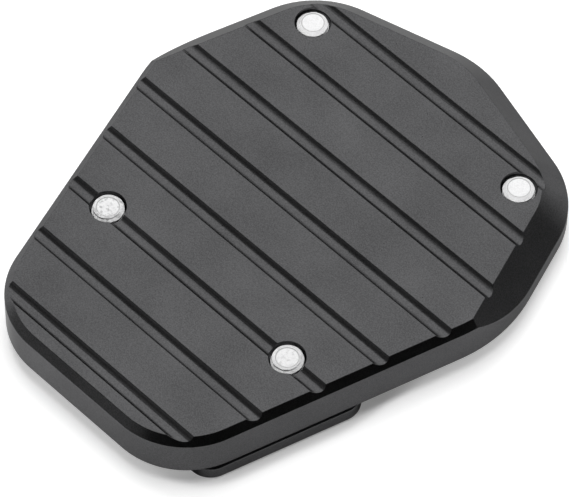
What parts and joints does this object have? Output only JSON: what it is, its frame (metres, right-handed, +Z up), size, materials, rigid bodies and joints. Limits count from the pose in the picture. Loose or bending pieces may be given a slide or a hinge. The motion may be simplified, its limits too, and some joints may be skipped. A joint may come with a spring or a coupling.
{
  "type": "kickstand foot enlarger",
  "caption": "Bevelled plate with a grooved ground face that a fork-shaped clamp plate and countersunk screws hold under the foot of a motorbike side stand to widen it.",
  "frame": {"origin": "centre of the length and width of the base plate, on the surface that the clamp plate lies on", "axes": "+Z up out of the grooved ground face, +Y from the narrow end to the pointed wide end, +X to the right along the grooves"},
  "size_m": [0.0838, 0.1028, 0.0132],
  "materials": {
    "base_plate": "black anodised, satin",
    "clamp_plate": "black anodised, satin",
    "screws": "bright machined stainless steel"
  },
  "bodies": {
    "root": {"base_plate": "base_plate", "clamp_plate": "clamp_plate", "screw_wide_left": "screws", "screw_wide_right": "screws", "screw_narrow_left": "screws", "screw_narrow_right": "screws"}
  },
  "joints": []
}
